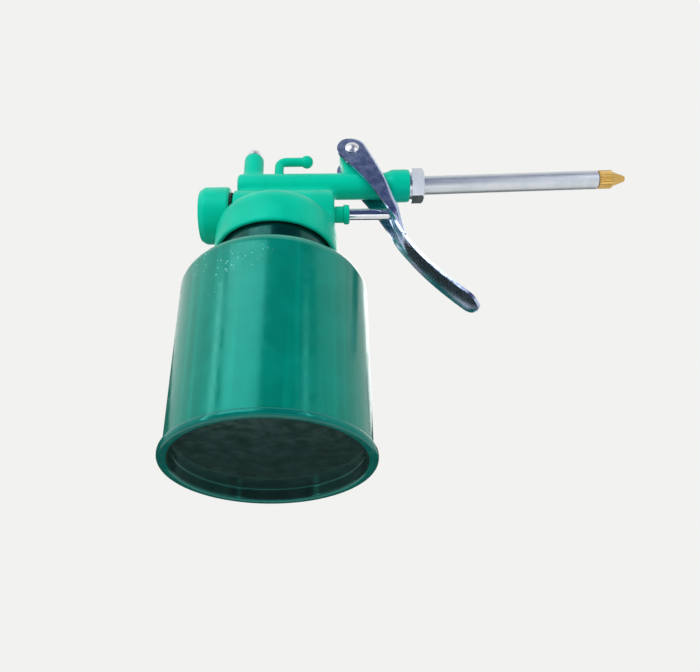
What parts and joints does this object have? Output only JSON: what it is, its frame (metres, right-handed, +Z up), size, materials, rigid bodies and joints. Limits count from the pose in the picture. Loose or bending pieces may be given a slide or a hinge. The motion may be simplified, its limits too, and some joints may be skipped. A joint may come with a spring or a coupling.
{
  "type": "handy oiler can",
  "caption": "Hand oil can with a seamed metal reservoir, a lever-worked plunger pump head, a stop key and a rigid metal spout with a brass nozzle.",
  "frame": {"origin": "under the middle of the whole object, on the plane that the can stands on; the can's own axis stands at x = -0.0608 m", "axes": "+Z up along the can's axis, +X along the spout towards the nozzle, Y across the lever"},
  "size_m": [0.2016, 0.08, 0.1614],
  "materials": {
    "can_enamel": "dark green gloss enamel",
    "hem_enamel": "darker green gloss enamel",
    "head_enamel": "satin sea-green enamel on die-cast metal",
    "steel": "plain",
    "polished_steel": "bright plated",
    "chrome": "bright chrome on pressed steel",
    "aluminium": "drawn, lightly brushed",
    "brass": "turned",
    "rubber": "oil-resistant seal",
    "plastic": "translucent white"
  },
  "bodies": {
    "can_and_head": {"can_body": "can_enamel", "can_bottom": "hem_enamel", "neck_gasket": "rubber", "pump_head": "head_enamel", "rear_cap": "head_enamel", "cap_washer": "rubber", "return_spring": "steel", "rod_packing": "rubber", "gland_nut": "head_enamel", "inlet_fitting": "brass", "dip_tube": "plastic", "dip_strainer": "brass", "outlet_spring": "steel", "valve_plug": "chrome", "pivot_rivet": "polished_steel", "washer_front": "steel", "washer_rear": "steel", "spout_ferrule": "brass", "spout_nut": "polished_steel", "spout_tube": "aluminium", "nozzle_tip": "brass", "key_ring": "rubber"},
    "lever": {"lever": "chrome"},
    "plunger": {"piston": "steel", "piston_ring": "rubber", "plunger_rod": "polished_steel"},
    "stop_key": {"stop_key": "head_enamel"},
    "inlet_ball": {"inlet_ball": "steel"},
    "outlet_ball": {"outlet_ball": "steel"}
  },
  "joints": [
    {"name": "lever_squeeze", "type": "hinge", "parent": "can_and_head", "child": "lever", "pos_m": [-0.02649, 0, 0.1544], "axis": [0, 1, 0], "range_deg": [0, 20], "stiffness_Nm_per_rad": 1.2, "springref_deg": -8.59},
    {"name": "plunger_slide", "type": "slide", "parent": "can_and_head", "child": "plunger", "axis": [-1, 0, 0], "range_m": [0, 0.01246], "deforming": ["return_spring"]},
    {"name": "stop_key_turn", "type": "hinge", "parent": "can_and_head", "child": "stop_key", "pos_m": [-0.06069, 0, 0.1537], "axis": [0, 0, 1], "range_deg": [0, 90]},
    {"name": "inlet_ball_lift", "type": "slide", "parent": "can_and_head", "child": "inlet_ball", "axis": [0, 0, 1], "range_m": [0, 0.0007]},
    {"name": "outlet_ball_lift", "type": "slide", "parent": "can_and_head", "child": "outlet_ball", "axis": [0, 0, 1], "range_m": [0, 0.001], "stiffness_N_per_m": 30, "deforming": ["outlet_spring"]}
  ],
  "couplings": [
    {"joint": "plunger_slide", "follows": "lever_squeeze", "m_per_rad": 0.0357}
  ]
}
